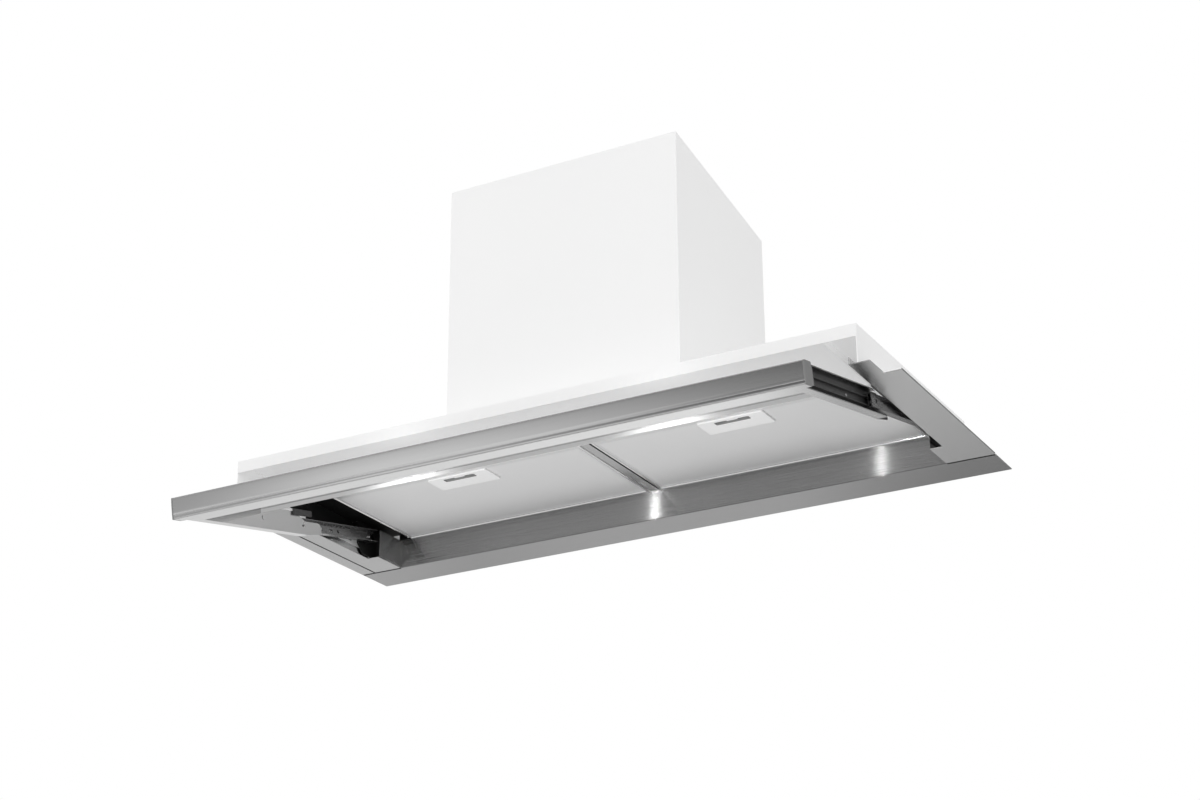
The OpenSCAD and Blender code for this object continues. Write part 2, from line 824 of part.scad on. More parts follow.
// Bracket on the casing side wall that carries the pivot pin, with the stop of the rail
pin_plate_t = 2;
pin_plate_gap = 1.6;
pin_plate_x = rail_x1 + pin_plate_gap;
bracket_front = 24;
module rail_bracket(side) {
    back = 20;
    low = 26;
    high = 16;
    corner = 12;
    wall = casing_half - casing_t;
    foot = 18;
    stop_at = 14;
    stop_t = 2;
    stop_len = 7;
    y0 = at(pivot_d + bracket_front);
    y1 = at(pivot_d - back);
    z0 = up(pivot_h - low);
    z1 = up(pivot_h + high);
    color([0.06, 0.06, 0.06]) on_side(side) {
        difference() {
            union() {
                along_x(pin_plate_x, pin_plate_x + pin_plate_t)
                    polygon([[y0, z1], [y0, z0 + corner], [y0 + corner, z0], [y1, z0], [y1, z1]]);
                block([pin_plate_x, y0, z1 - pin_plate_t], [wall, y1, z1]);
                block([wall - pin_plate_t, y0, z1 - foot], [wall, y1, z1]);
            }
            translate([0, at(pivot_d), up(pivot_h)])
                rod_x(pin_plate_x - cut, pin_plate_x + pin_plate_t + cut, pin_r);
        }
        visor_frame() block([rail_x0, -stop_at, rail_mid - rail_h / 2 - seat_gap - stop_t],
                            [pin_plate_x, -stop_at + stop_len, rail_mid - rail_h / 2 - seat_gap]);
    }
}

// Headed pins of the two pivots
module pivot_pins() {
    head_r = 4.2;
    head_t = 1.4;
    gap = 0.15;
    color("white") for (side = [-1, 1]) on_side(side)
        translate([0, at(pivot_d), up(pivot_h)]) {
            rod_x(rail_x1 - rail_t - gap, pin_plate_x + pin_plate_t, pin_r);
            rod_x(rail_x1 - rail_t - gap - head_t, rail_x1 - rail_t - gap, head_r);
        }
}

// Fixed rail of a slide: a channel open towards the arm, turning on the pivot
module rail(side) {
    tail = 8;
    lip_t = 1;
    slot_at = 92;
    slot_len = 4;
    hole_pitch = 18;
    end_hole = 14;
    hole_r = 2.2;
    color([0.45, 0.45, 0.47]) on_side(side) visor_frame() difference() {
        union() {
            block([rail_x1 - rail_t, -rail_len, rail_mid - rail_h / 2],
                  [rail_x1, tail, rail_mid + rail_h / 2]);
            for (s = [-1, 1]) translate([0, 0, rail_mid])
                block([rail_x0, -rail_len, s * (rail_h / 2 - lip_t)],
                      [rail_x1, tail, s * rail_h / 2]);
        }
        rod_x(rail_x0 - cut, rail_x1 + cut, pin_r + run_gap);
        for (y = [slot_at, slot_at - slot_len, slot_at + hole_pitch, slot_at - hole_pitch,
                  rail_len - end_hole])
            translate([0, -y, rail_mid]) rod_x(rail_x1 - rail_t - cut, rail_x1 + cut, hole_r);
    }
}

// Ball strip between a rail and its sliding member
cage_len = 60;
cage_end = 1;
cage_at = rail_len - cage_end - cage_len / 2;
ball_r = 0.85;
member_h = 10.4;
member_w = 5;
member_t = 1;
module ball_cage(side) {
    lip_t = 1;
    mid = (member_h / 2 + rail_h / 2 - lip_t) / 2;
    bar_t = 0.8;
    edge_gap = 0.4;
    web_gap = 1.6;
    x0 = rail_x0 + edge_gap;
    web_t = 0.8;
    x1 = arm_x + visor_t + member_w + web_gap + web_t;
    balls = 6;
    color("silver") on_side(side) visor_frame() translate([0, -cage_at, rail_mid]) {
        block([x1 - web_t, -cage_len / 2, -mid - bar_t / 2], [x1, cage_len / 2, mid + bar_t / 2]);
        for (s = [-1, 1]) {
            block([x0, -cage_len / 2, s * mid - bar_t / 2],
                  [x1, cage_len / 2, s * mid + bar_t / 2]);
            for (i = [0 : balls - 1])
                translate([(x0 + x1) / 2, cage_len * ((i + 0.5) / balls - 0.5), s * mid])
                    sphere(r = ball_r, $fn = 24);
        }
    }
}

// Sliding member riveted to an arm; it ends behind the arm's ear and keeps clear of the pivot
member_keep = 35;
member_front = bar_rear - visor_t - seat_gap;
member_rear = member_keep + slide_travel;
rivet_r = 1.8;
rivet_shares = [0.11, 0.46, 0.86];
rivet_places = [for (s = rivet_shares) member_rear + s * (member_front - member_rear)];
module slide_member(side) {
    x0 = arm_x + visor_t;
    color([0.2, 0.2, 0.21]) on_side(side) visor_frame() translate([0, 0, rail_mid])
        difference() {
            union() {
                block([x0, -member_front, -member_h / 2], [x0 + member_t, -member_rear, member_h / 2]);
                for (s = [-1, 1])
                    block([x0, -member_front, s * (member_h / 2 - member_t)],
                          [x0 + member_w, -member_rear, s * member_h / 2]);
            }
            for (y = rivet_places) translate([0, -y, 0])
                rod_x(x0 - cut, x0 + member_t + cut, rivet_r);
        }
}

// Pressed arm: a channel open outwards, cut down behind its top flange
shoulder_at = 184;
web_hole_at = 167;
web_hole_h = -2;
web_hole_r = 1.5;
module arm(side) {
    x1 = arm_x + arm_flange;
    low_rear = 158;
    rear = 128;
    toe = 3;
    ramp = 22;
    step = 11;
    corner = 7;
    color("silver") on_side(side) visor_frame() difference() {
        union() {
            along_x(arm_x, arm_x + visor_t) {
                polygon([[-bar_rear, arm_low], [-low_rear, arm_low], [-rear, arm_low + toe],
                         [-rear, arm_top - step - corner], [-rear - corner, arm_top - step],
                         [-shoulder_at + ramp, arm_top - step], [-shoulder_at, arm_top],
                         [-bar_rear, arm_top]]);
                translate([-rear - corner, arm_top - step - corner]) circle(r = corner);
                translate([-reach + visor_t, arm_low + visor_t])
                    square([fascia_d, sheet_top - arm_low - 2 * visor_t]);
            }
            block([arm_x, -bar_rear, arm_low], [x1, -low_rear, arm_low + visor_t]);
            block([arm_x, -bar_rear, arm_top - visor_t], [x1, -shoulder_at, arm_top]);
            front_ear();
        }
        for (y = rivet_places) translate([0, -y, rail_mid])
            rod_x(arm_x - cut, arm_x + visor_t + cut, rivet_r);
        translate([0, -web_hole_at, web_hole_h]) rod_x(arm_x - cut, arm_x + visor_t + cut, web_hole_r);
    }
}

// Ear at the arm's front end, screwed to the fascia bar
module front_ear() {
    out = 16.8;
    deep = 11;
    half_h = 10;
    hole_r = 1.6;
    ear_x = arm_x + out;
    difference() {
        union() {
            block([arm_x, -bar_rear, -half_h], [ear_x, -bar_rear + visor_t, half_h]);
            block([ear_x - visor_t, -bar_rear, -half_h], [ear_x, -bar_rear + deep, half_h]);
        }
        translate([0, -bar_rear + (visor_t + deep) / 2, 0])
            rod_x(ear_x - visor_t - cut, ear_x + cut, hole_r);
    }
}

// Rivets that hold the sliding members on the arms
module visor_rivets() {
    head_r = 3;
    head_t = 0.8;
    color("white") for (side = [-1, 1]) on_side(side) visor_frame()
        for (y = rivet_places) translate([0, -y, rail_mid]) {
            rod_x(arm_x, arm_x + visor_t + member_t, rivet_r);
            rod_x(arm_x - head_t, arm_x, head_r);
        }
}

// Plastic bumpers on the arms' rear shoulders
module arm_bumpers() {
    ahead = 4;
    behind = 34;
    low = 5;
    over = 2.8;
    in = 3;
    color([0.12, 0.12, 0.12]) for (side = [-1, 1]) on_side(side) visor_frame()
        block([arm_x - in, -shoulder_at - ahead, arm_top - low],
              [arm_x, -shoulder_at + behind, arm_top + over]);
}

// Fascia bar: rounded front with a shadow groove over its hem, returns and lower lip
cap_t = 2;
fascia_r = 1.5;
module fascia() {
    x1 = fascia_w / 2 - cap_t;
    hem = 3;
    low = arm_low;
    groove_h = 4;
    groove_w = 0.8;
    groove_deep = 0.7;
    color("silver") visor_frame() {
        along_x(-x1, x1) difference() {
            round_rect(-reach, low, -bar_rear + fascia_r, low + fascia_h, fascia_r);
            translate([-reach + visor_t, low + visor_t])
                square([fascia_d + fascia_r, fascia_h - 2 * visor_t]);
            translate([-bar_rear, low - cut]) square([fascia_d, fascia_h + 2 * cut]);
            translate([-reach - cut, low + groove_h]) square([groove_deep + cut, groove_w]);
        }
        block([-arm_x, -bar_rear, low], [arm_x, -reach + lip_d, low + visor_t]);
        block([-arm_x, -reach + lip_d - visor_t, low], [arm_x, -reach + lip_d, low + hem]);
    }
}

// Caps that close the two ends of the fascia bar
module fascia_end_caps() {
    color("gray") visor_frame() for (side = [-1, 1]) on_side(side)
        along_x(fascia_w / 2 - cap_t, fascia_w / 2)
            round_rect(-reach, arm_low, -bar_rear, arm_low + fascia_h, fascia_r);
}

// Top sheet of the visor between the arms
module visor_sheet() {
    rear = reach - sheet_d;
    hem = 6;
    color("silver") visor_frame() difference() {
        union() {
            block([-arm_x, -reach + visor_t, sheet_top - visor_t], [arm_x, -rear, sheet_top]);
            block([-arm_x, -rear - visor_t, sheet_top - hem], [arm_x, -rear, sheet_top]);
        }
        for (x = [-lamp_x, lamp_x]) translate([x, -lamp_at, sheet_top - visor_t - cut])
            cylinder(h = visor_t + 2 * cut, r = lamp_r - lamp_rim);
    }
}
lamp_share = 0.454;
lamp_x = arm_x * lamp_share;
lamp_at = 306;
lamp_r = 24;
lamp_rim = 3;
lamp_deep = 4;

// Round lamp bezels under the top sheet
module lamp_bezels() {
    color("gainsboro") visor_frame() for (x = [-lamp_x, lamp_x])
        translate([x, -lamp_at, sheet_top - visor_t - lamp_deep]) difference() {
            cylinder(h = lamp_deep, r = lamp_r);
            translate([0, 0, -cut]) cylinder(h = lamp_deep + 2 * cut, r = lamp_r - lamp_rim);
        }
}

// Frosted lenses in the lamps
module lamp_lenses() {
    sunk = 0.8;
    color("white") visor_frame() for (x = [-lamp_x, lamp_x])
        translate([x, -lamp_at, sheet_top - visor_t - lamp_deep + sunk])
            cylinder(h = lamp_deep + visor_t - sunk, r = lamp_r - lamp_rim);
}

// Push-button block under the top sheet
key_n = 4;
key_from_arm = 97.6;
key_x = arm_x - key_from_arm;
key_pitch = 18;
key_half_x = 38;
key_corner = 3;
key_at = 345;
key_half_y = 9;
key_deep = 6;
key_r = 5;
key_fit = 0.15;
key_out = 1.8;
key_travel = 1.5;
module keypad() {
    color([0.1, 0.1, 0.1]) visor_frame()
        translate([key_x, -key_at, sheet_top - visor_t - key_deep]) difference() {
            linear_extrude(height = key_deep)
                round_rect(-key_half_x, -key_half_y, key_half_x, key_half_y, key_corner);
            for (i = [0 : key_n - 1]) translate([key_pitch * (i - (key_n - 1) / 2), 0, -cut])
                cylinder(h = key_deep, r = key_r + key_fit);
        }
}

// Push button number i of the block
module key(i) {
    dome = 0.6;
    len = key_deep - cut - key_travel - seat_gap + key_out;
    color("lightgray") visor_frame()
        translate([key_x + key_pitch * (i - (key_n - 1) / 2), -key_at,
                   sheet_top - visor_t - key_deep - key_out]) {
            translate([0, 0, dome]) cylinder(h = len - dome, r = key_r);
            cylinder(h = dome, r1 = key_r - dome, r2 = key_r, $fn = 48);
        }
}

// Filter frame: a border round the mesh
module filter_frame(side) {
    y0 = at(filter_front_d);
    y1 = at(filter_rear_d);
    stub = filter_pin_len;
    color("gainsboro") on_side(side) translate([0, at(filter_pin_d), up(filter_pin_h)]) {
        rod_x(filter_x0 - stub, filter_x0, filter_pin_r);
        rod_x(filter_x1, filter_x1 + stub, filter_pin_r);
    }
    color("gainsboro") on_side(side) difference() {
        block([filter_x0, y0, up(recess_h)], [filter_x1, y1, up(filter_top_h)]);
        block([filter_x0 + border_w, y0 + border_w, up(recess_h) - cut],
              [filter_x1 - border_w, y1 - border_w, up(filter_top_h) + cut]);
        block([filter_mid - latch_w / 2 - latch_fit, y0 - cut, up(latch_h0) - latch_fit],
              [filter_mid + latch_w / 2 + latch_fit, y0 + border_w + cut,
               up(latch_h0) + latch_t + latch_fit]);
    }
}

// Two mesh layers inside a filter frame, folded together at the sides and notched for the
// handle, with a slit at the handle's right end
mesh_in = 0.4;
mesh_t = 0.6;
module filter_mesh(side) {
    slit = 1.2;
    y0 = at(filter_front_d) + border_w;
    y1 = at(filter_rear_d) - border_w;
    z0 = up(recess_h) + mesh_in;
    z1 = up(filter_top_h) - mesh_in;
    x0 = filter_x0 + border_w;
    x1 = filter_x1 - border_w;
    color("lightgray") on_side(side) difference() {
        block([x0, y0, z0], [x1, y1, z1]);
        block([x0 + mesh_t, y0 - cut, z0 + mesh_t], [x1 - mesh_t, y1 + cut, z1 - mesh_t]);
        block([filter_mid - handle_w / 2 - (side < 0 ? slit : 0), y0 - cut, z0 - cut],
              [filter_mid + handle_w / 2 + (side < 0 ? 0 : slit), y0 + handle_d, z0 + mesh_t + cut]);
    }
}

// Moulded handle with a finger slot and the latch channel
handle_drop = 1.4;
handle_low_h = recess_h - handle_drop;
handle_top_h = recess_h + filter_t - mesh_in - mesh_t;
latch_rise = 0.6;
latch_h0 = recess_h + latch_rise;
latch_t = 2;
latch_w = 14;
latch_fit = 0.15;
grip_w = 45;
grip_d = 9;
grip_ahead = 5;
grip_high = 5;
grip_r = 2;
module filter_handle(side) {
    y0 = at(filter_front_d) + border_w;
    y1 = y0 + handle_d;
    slot_y = y0 + grip_ahead;
    color("white") on_side(side) difference() {
        translate([0, 0, up(handle_low_h)])
            linear_extrude(height = handle_top_h - handle_low_h)
                round_rect(filter_mid - handle_w / 2, y0, filter_mid + handle_w / 2, y1, grip_r);
        // Finger slot
        translate([0, 0, up(handle_low_h) - cut])
            linear_extrude(height = recess_h + grip_high - handle_low_h + cut)
                round_rect(filter_mid - grip_w / 2, slot_y, filter_mid + grip_w / 2,
                           slot_y + grip_d, grip_r);
        // Channel of the latch
        block([filter_mid - latch_w / 2 - latch_fit, y0 - cut, up(latch_h0) - latch_fit],
              [filter_mid + latch_w / 2 + latch_fit, slot_y + cut,
               up(latch_h0) + latch_t + latch_fit]);
    }
}

// Latch slider: a bolt through the frame and a finger bar in the slot
latch_past = 1.5;
module filter_latch(side) {
    y0 = at(filter_front_d) - joint_gap - casing_t - latch_past;
    slot_y = at(filter_front_d) + border_w + grip_ahead;
    bar_d = grip_d - latch_travel - 2 * latch_fit;
    color("gainsboro") on_side(side) {
        block([filter_mid - latch_w / 2, y0, up(latch_h0)],
              [filter_mid + latch_w / 2, slot_y + latch_fit + bar_d, up(latch_h0) + latch_t]);
        block([filter_mid - latch_w / 2, slot_y + latch_fit, up(recess_h) - seat_gap],
              [filter_mid + latch_w / 2, slot_y + latch_fit + bar_d, up(latch_h0)]);
    }
}

// Pan-head screws of the motor housing
screw_r = 1.9;
screw_head_r = 3.8;
screw_head_h = 2.2;
screw_len = 7;
module case_screw_places() {
    x = housing_half + housing_flange / 2;
    for (sx = [-x, x], y = [at(housing_front_d) + 2 * housing_flange,
                            at((housing_front_d + housing_rear_d) / 2),
                            at(housing_rear_d) - 2 * housing_flange])
        translate([sx, y, up(casing_top_h)]) children();
}
// Four places round the collar's foot, about its axis
module collar_screw_places() {
    screw_in = 9;
    x = scroll_half + screw_in;
    r = collar_r + collar_flange / 2;
    for (sx = [-x, x], sy = [-1, 1])
        translate([sx, sy * sqrt(r * r - x * x), 0]) children();
}
module case_screws() {
    color("silver") {
        case_screw_places() screw(casing_t);
        lid_frame() collar_screw_places() screw(collar_flange_t);
    }
}

// Pan-head screw whose head sits at height t
module screw(t) {
    translate([0, 0, t]) cylinder(h = screw_head_h, r = screw_head_r);
    translate([0, 0, -screw_len / 2]) cylinder(h = screw_len / 2 + t, r = screw_r);
}

plenum_casing();
side_flanges();
rear_rail();
outer_strip(-1);  // left_outer_strip
outer_strip(1);  // right_outer_strip
inner_plate(-1);  // left_inner_plate
inner_plate(1);  // right_inner_plate
recess_liner();
filter_deck();
front_cover();
centre_divider();
motor_housing();
housing_lid();
outlet_collar();
damper_pins();
blower_scroll();
inlet_rings();
motor();
motor_bracket();
control_box();
control_box_lid();
cable_gland();
control_electrics();
slide_shrouds();
rail_bracket(-1);  // left_rail_bracket
rail_bracket(1);  // right_rail_bracket
pivot_pins();
case_screws();
rail(-1);  // left_rail
rail(1);  // right_rail
ball_cage(-1);  // left_ball_cage
ball_cage(1);  // right_ball_cage
fascia();
fascia_end_caps();
visor_sheet();
arm(-1);  // left_arm
arm(1);  // right_arm
slide_member(-1);  // left_slide
slide_member(1);  // right_slide
arm_bumpers();
lamp_bezels();
lamp_lenses();
keypad();
visor_rivets();
key(0);  // power_button
key(1);  // slow_button
key(2);  // fast_button
key(3);  // light_button
filter_frame(-1);  // left_filter_frame
filter_mesh(-1);  // left_filter_mesh
filter_handle(-1);  // left_filter_handle
filter_latch(-1);  // left_filter_latch
filter_frame(1);  // right_filter_frame
filter_mesh(1);  // right_filter_mesh
filter_handle(1);  // right_filter_handle
filter_latch(1);  // right_filter_latch
damper_flap(-1);  // front_flap
damper_flap(1);  // rear_flap
impeller();
motor_shaft();
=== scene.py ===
import json
import math

import bmesh
import bpy
from mathutils import Matrix, Vector


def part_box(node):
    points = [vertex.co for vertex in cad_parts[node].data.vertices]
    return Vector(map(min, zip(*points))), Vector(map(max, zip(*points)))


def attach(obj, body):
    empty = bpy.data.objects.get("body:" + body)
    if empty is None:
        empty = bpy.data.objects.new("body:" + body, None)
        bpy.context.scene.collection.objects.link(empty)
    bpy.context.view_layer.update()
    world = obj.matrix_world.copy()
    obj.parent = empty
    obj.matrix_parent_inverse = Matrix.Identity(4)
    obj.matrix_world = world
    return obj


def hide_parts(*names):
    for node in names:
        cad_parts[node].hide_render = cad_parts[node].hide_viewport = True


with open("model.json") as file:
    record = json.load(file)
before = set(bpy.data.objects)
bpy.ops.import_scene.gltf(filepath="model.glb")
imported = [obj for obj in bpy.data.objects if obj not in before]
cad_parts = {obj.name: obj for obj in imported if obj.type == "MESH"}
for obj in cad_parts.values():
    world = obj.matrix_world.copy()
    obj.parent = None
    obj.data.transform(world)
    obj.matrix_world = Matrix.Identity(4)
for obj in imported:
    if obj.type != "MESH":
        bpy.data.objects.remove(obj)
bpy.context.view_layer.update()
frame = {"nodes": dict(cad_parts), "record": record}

nodes = frame["nodes"]
rows = {row["node"]: row for row in frame["record"]["subparts"]}
body_of = {}
for body, names in frame["record"]["behaviour"]["bodies"].items():
    for name in names:
        body_of[name] = body

# Tilt and pivot of the open visor, and where its lamps are
TILT = math.radians(11.8)
PIVOT = Vector((0.0, 0.085, 0.0256))
LAMP_X = 0.176
LAMP_AT = 0.306


def on_visor(x, y, z):
    """A point of the open visor, measured from its pivots, in the row frame."""
    back = y * math.cos(TILT) - z * math.sin(TILT)
    up = y * math.sin(TILT) + z * math.cos(TILT)
    return PIVOT + Vector((x, back, up))


def from_visor(co):
    """The point of the row frame measured from the pivots, in the visor's own directions."""
    d = co - PIVOT
    back = d.y * math.cos(TILT) + d.z * math.sin(TILT)
    up = d.z * math.cos(TILT) - d.y * math.sin(TILT)
    return Vector((d.x, back, up))


# Node helpers

# No finish is paler than this
PALEST = 0.95
EVEN = (1.0, 1.0, 1.0)


def new_material(name, metallic=0.0):
    """An empty node tree that holds a Principled surface alone."""
    m = bpy.data.materials.new(name)
    m.use_nodes = True
    nt = m.node_tree
    nt.nodes.clear()
    out = nt.nodes.new("ShaderNodeOutputMaterial")
    bsdf = nt.nodes.new("ShaderNodeBsdfPrincipled")
    bsdf.inputs["Metallic"].default_value = metallic
    nt.links.new(bsdf.outputs[0], out.inputs[0])
    return m, nt, bsdf


def object_coords(nt, scale=EVEN):
    tc = nt.nodes.new("ShaderNodeTexCoord")
    mp = nt.nodes.new("ShaderNodeMapping")
    mp.inputs["Scale"].default_value = scale
    nt.links.new(tc.outputs["Object"], mp.inputs["Vector"])
    return mp.outputs["Vector"]


def noise(nt, vector, scale, detail=3.0, rough=0.5):
    n = nt.nodes.new("ShaderNodeTexNoise")
    n.inputs["Scale"].default_value = scale
    n.inputs["Detail"].default_value = detail
    n.inputs["Roughness"].default_value = rough
    nt.links.new(vector, n.inputs["Vector"])
    return n.outputs["Fac"]


def grey(v):
    return (v, v, v, 1.0)


def ramp(nt, fac, stops):
    r = nt.nodes.new("ShaderNodeValToRGB")
    e = r.color_ramp.elements
    while len(e) < len(stops):
        e.new(0.5)
    for el, (position, tone) in zip(e, stops):
        el.position = position
        el.color = grey(tone)
    nt.links.new(fac, r.inputs["Fac"])
    return r.outputs["Color"]


def shades(nt, fac, tone, span, low, high):
    """Grey from tone times low to tone times high, over a span of the factor."""
    return ramp(nt, fac, [(at, min(tone * share, PALEST)) for at, share in zip(span, (low, high))])


def math_node(nt, operation, *values):
    n = nt.nodes.new("ShaderNodeMath")
    n.operation = operation
    for i, v in enumerate(values):
        if isinstance(v, (int, float)):
            n.inputs[i].default_value = v
        else:
            nt.links.new(v, n.inputs[i])
    return n.outputs[0]


def spread(nt, fac, low, high, start=0.0, end=1.0):
    m = nt.nodes.new("ShaderNodeMapRange")
    m.inputs["From Min"].default_value = start
    m.inputs["From Max"].default_value = end
    m.inputs["To Min"].default_value = low
    m.inputs["To Max"].default_value = high
    nt.links.new(fac, m.inputs["Value"])
    return m.outputs["Result"]


def bump(nt, bsdf, height, strength, distance):
    b = nt.nodes.new("ShaderNodeBump")
    b.inputs["Strength"].default_value = strength
    b.inputs["Distance"].default_value = distance
    nt.links.new(height, b.inputs["Height"])
    nt.links.new(b.outputs["Normal"], bsdf.inputs["Normal"])


def surface(nt, bsdf, colour, roughness):
    nt.links.new(colour, bsdf.inputs["Base Color"])
    nt.links.new(roughness, bsdf.inputs["Roughness"])


def emission(nt, bsdf, colour, strength):
    nt.links.new(colour, bsdf.inputs["Emission Color"])
    bsdf.inputs["Emission Strength"].default_value = strength


# Finishes

# Scales of the brush lines, and the directions in which they spread a highlight
LINES_X = (2.2, 1500.0, 1500.0)
LINES_Y = (1500.0, 2.2, 1500.0)
ACROSS_X_LINES = (0.0, 0.7071, 0.7071)
ACROSS_Y_LINES = (1.0, 0.0, 0.0)
# Scales of the slow change of tone along a sheet, and of the coarse lines of the recess wall
SLOW = (1.3, 2.6, 2.6)
COARSE_LINES = (0.6, 9000.0, 9000.0)
# The part of the noise over which the roughness of brush lines goes from low to high
LINE_SPAN = (0.3, 0.7)


def brushed(name, tone, rough=(0.17, 0.2), along=LINES_X, contrast=0.014, depth=0.000004,
            aniso=0.7, spread_dir=ACROSS_X_LINES, tilt=0.0):
    """Brushed sheet: long fine lines, a slow change of tone, highlights drawn out across them."""
    m, nt, bsdf = new_material(name, metallic=1.0)
    streak = noise(nt, object_coords(nt, along), scale=1.0, detail=5.0, rough=0.7)
    slow = noise(nt, object_coords(nt, SLOW), scale=1.3, detail=2.0)
    slow_share = 0.3
    mix = math_node(nt, "MULTIPLY_ADD", slow, slow_share, streak)
    colour = shades(nt, mix, tone, span=(0.4, 0.9), low=1 - contrast, high=1 + contrast)
    surface(nt, bsdf, colour, spread(nt, streak, *rough, *LINE_SPAN))
    bsdf.inputs["Anisotropic"].default_value = aniso
    tangent = nt.nodes.new("ShaderNodeCombineXYZ")
    for i in range(3):
        tangent.inputs[i].default_value = spread_dir[i]
    nt.links.new(tangent.outputs[0], bsdf.inputs["Tangent"])
    if tilt:
        tilted_lines(nt, bsdf, tilt)
    else:
        bump(nt, bsdf, streak, strength=0.2, distance=depth)
    return m


def tilted_lines(nt, bsdf, tilt):
    """Coarse lines along X, each with its own slope, which show a lamp as an upright streak."""
    line = noise(nt, object_coords(nt, COARSE_LINES), scale=1.0, detail=0.0)
    up = nt.nodes.new("ShaderNodeCombineXYZ")
    nt.links.new(spread(nt, line, -tilt, tilt), up.inputs[2])
    geometry = nt.nodes.new("ShaderNodeNewGeometry")
    add = nt.nodes.new("ShaderNodeVectorMath")
    add.operation = "ADD"
    nt.links.new(geometry.outputs["True Normal"], add.inputs[0])
    nt.links.new(up.outputs[0], add.inputs[1])
    unit = nt.nodes.new("ShaderNodeVectorMath")
    unit.operation = "NORMALIZE"
    nt.links.new(add.outputs[0], unit.inputs[0])
    nt.links.new(unit.outputs[0], bsdf.inputs["Normal"])


def satin(name, tone, rough=(0.34, 0.42), grain=700.0, contrast=0.02, depth=0.00002, metallic=1.0):
    """Anodised or lacquered metal with an even fine grain."""
    m, nt, bsdf = new_material(name, metallic)
    v = object_coords(nt)
    fine = noise(nt, v, grain, detail=3.0)
    slow = noise(nt, v, scale=5.0, detail=2.0)
    slow_share = 0.5
    mix = math_node(nt, "MULTIPLY_ADD", slow, slow_share, fine)
    colour = shades(nt, mix, tone, span=(0.5, 1.0), low=1 - contrast, high=1 + contrast)
    surface(nt, bsdf, colour, spread(nt, fine, *rough))
    bump(nt, bsdf, fine, strength=0.2, distance=depth)
    return m


def expanded(name, tone, pitch=0.0026, slant=1.7, rough=(0.4, 0.55), depth=0.00006, metallic=0.5):
    """Fine expanded aluminium: small staggered diamonds, seen as a soft weave."""
    m, nt, bsdf = new_material(name, metallic)
    tc = nt.nodes.new("ShaderNodeTexCoord")
    sep = nt.nodes.new("ShaderNodeSeparateXYZ")
    nt.links.new(tc.outputs["Object"], sep.inputs[0])
    k = 2 * math.pi / pitch
    waves = []
    for way in (slant, -slant):
        across = math_node(nt, "MULTIPLY", sep.outputs["Y"], k * way)
        phase = math_node(nt, "MULTIPLY_ADD", sep.outputs["X"], k, across)
        waves.append(math_node(nt, "SINE", phase))
    cell = spread(nt, math_node(nt, "MULTIPLY", *waves), 0.0, 1.0, start=-1.0, end=1.0)
    slow = noise(nt, object_coords(nt), scale=9.0, detail=3.0)
    slow_share = 0.7
    mix = math_node(nt, "MULTIPLY_ADD", slow, slow_share, cell)
    colour = shades(nt, mix, tone, span=(0.3, 0.8), low=0.93, high=1.0)
    surface(nt, bsdf, colour, spread(nt, cell, *rough))
    bump(nt, bsdf, cell, strength=0.25, distance=depth)
    return m


def plastic(name, tone, rough=(0.42, 0.55), grain=900.0, depth=0.00003, specular=0.5, emit=0.0):
    """Moulded plastic with a fine spark-eroded grain."""
    m, nt, bsdf = new_material(name)
    v = object_coords(nt)
    fine = noise(nt, v, grain, detail=2.0)
    slow = noise(nt, v, scale=12.0, detail=2.0)
    colour = shades(nt, slow, tone, span=(0.3, 0.75), low=0.94, high=1.06)
    surface(nt, bsdf, colour, spread(nt, fine, *rough))
    bsdf.inputs["Specular IOR Level"].default_value = specular
    bump(nt, bsdf, fine, strength=0.3, distance=depth)
    # A glow here is painted light: the plastic is no lamp
    if emit:
        emission(nt, bsdf, colour, emit)
    return m


def painted(name, tone, rough=(0.4, 0.52), grain=420.0, depth=0.00006, specular=0.3, emit=0.0):
    """Powder coat: a faint orange peel."""
    m, nt, bsdf = new_material(name)
    v = object_coords(nt)
    peel = noise(nt, v, grain, detail=2.0)
    slow = noise(nt, v, scale=3.0, detail=2.0)
    colour = shades(nt, slow, tone, span=(0.3, 0.75), low=0.985, high=1.01)
    surface(nt, bsdf, colour, spread(nt, peel, *rough))
    bsdf.inputs["Specular IOR Level"].default_value = specular
    bump(nt, bsdf, peel, strength=0.12, distance=depth)
    # A glow here is painted light: the coat is no lamp
    if emit:
        emission(nt, bsdf, colour, emit)
    return m


def zinc(name, tone, rough=(0.25, 0.45), crystal=160.0, grain=260.0, depth=0.00004):
    """Plated or galvanised steel: small mottled crystals."""
    m, nt, bsdf = new_material(name, metallic=1.0)
    v = object_coords(nt)
    vor = nt.nodes.new("ShaderNodeTexVoronoi")
    vor.inputs["Scale"].default_value = crystal
    nt.links.new(v, vor.inputs["Vector"])
    fine = noise(nt, v, grain, detail=3.0)
    colour = shades(nt, vor.outputs["Distance"], tone, span=(0.0, 0.9), low=0.92, high=1.08)
    surface(nt, bsdf, colour, spread(nt, fine, *rough))
    bump(nt, bsdf, fine, strength=0.15, distance=depth)
    return m


def glow(name, tone, emit, rough=(0.35, 0.5), grain=500.0, depth=0.00003):
    """Frosted lens, lit from behind."""
    m, nt, bsdf = new_material(name)
    fine = noise(nt, object_coords(nt), grain, detail=2.0)
    colour = shades(nt, fine, tone, span=(0.2, 0.8), low=0.96, high=1.0)
    surface(nt, bsdf, colour, spread(nt, fine, *rough))
    emission(nt, bsdf, colour, emit)
    bump(nt, bsdf, fine, strength=0.1, distance=depth)
    return m


